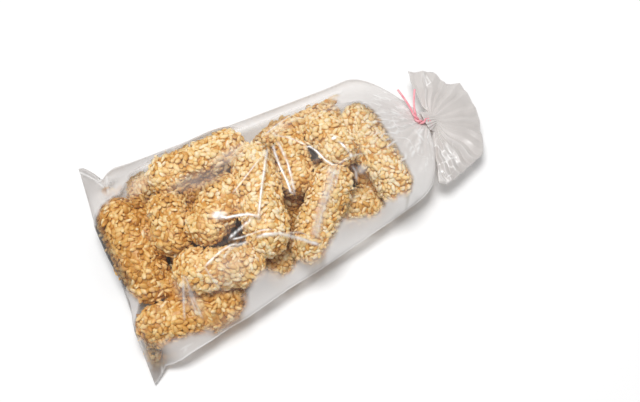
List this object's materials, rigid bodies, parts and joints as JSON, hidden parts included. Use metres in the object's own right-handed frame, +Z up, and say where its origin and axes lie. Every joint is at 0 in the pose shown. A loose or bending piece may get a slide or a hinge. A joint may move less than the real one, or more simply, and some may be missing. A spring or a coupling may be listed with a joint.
{
  "type": "fried rice flour snack",
  "caption": "Clear bag of puffed-rice-coated fried rice flour logs, sealed at one end and gathered into a pink twist tie at the other.",
  "frame": {"origin": "centre of the bounding box's bottom face, on the surface that the bag lies on", "axes": "+X from the sealed end to the tied neck, +Y across the bag, +Z up"},
  "size_m": [0.3127, 0.1818, 0.0684],
  "materials": {
    "clear_film": "clear thin film, glossy, slightly hazy where it is empty or creased",
    "rice_logs": "toasted puffed rice grains set in a golden syrup glaze, food",
    "tie_plastic": "smooth pink plastic round a thin wire"
  },
  "bodies": {
    "root": {"bag": "clear_film", "twist_tie": "tie_plastic"}
  },
  "joints": []
}
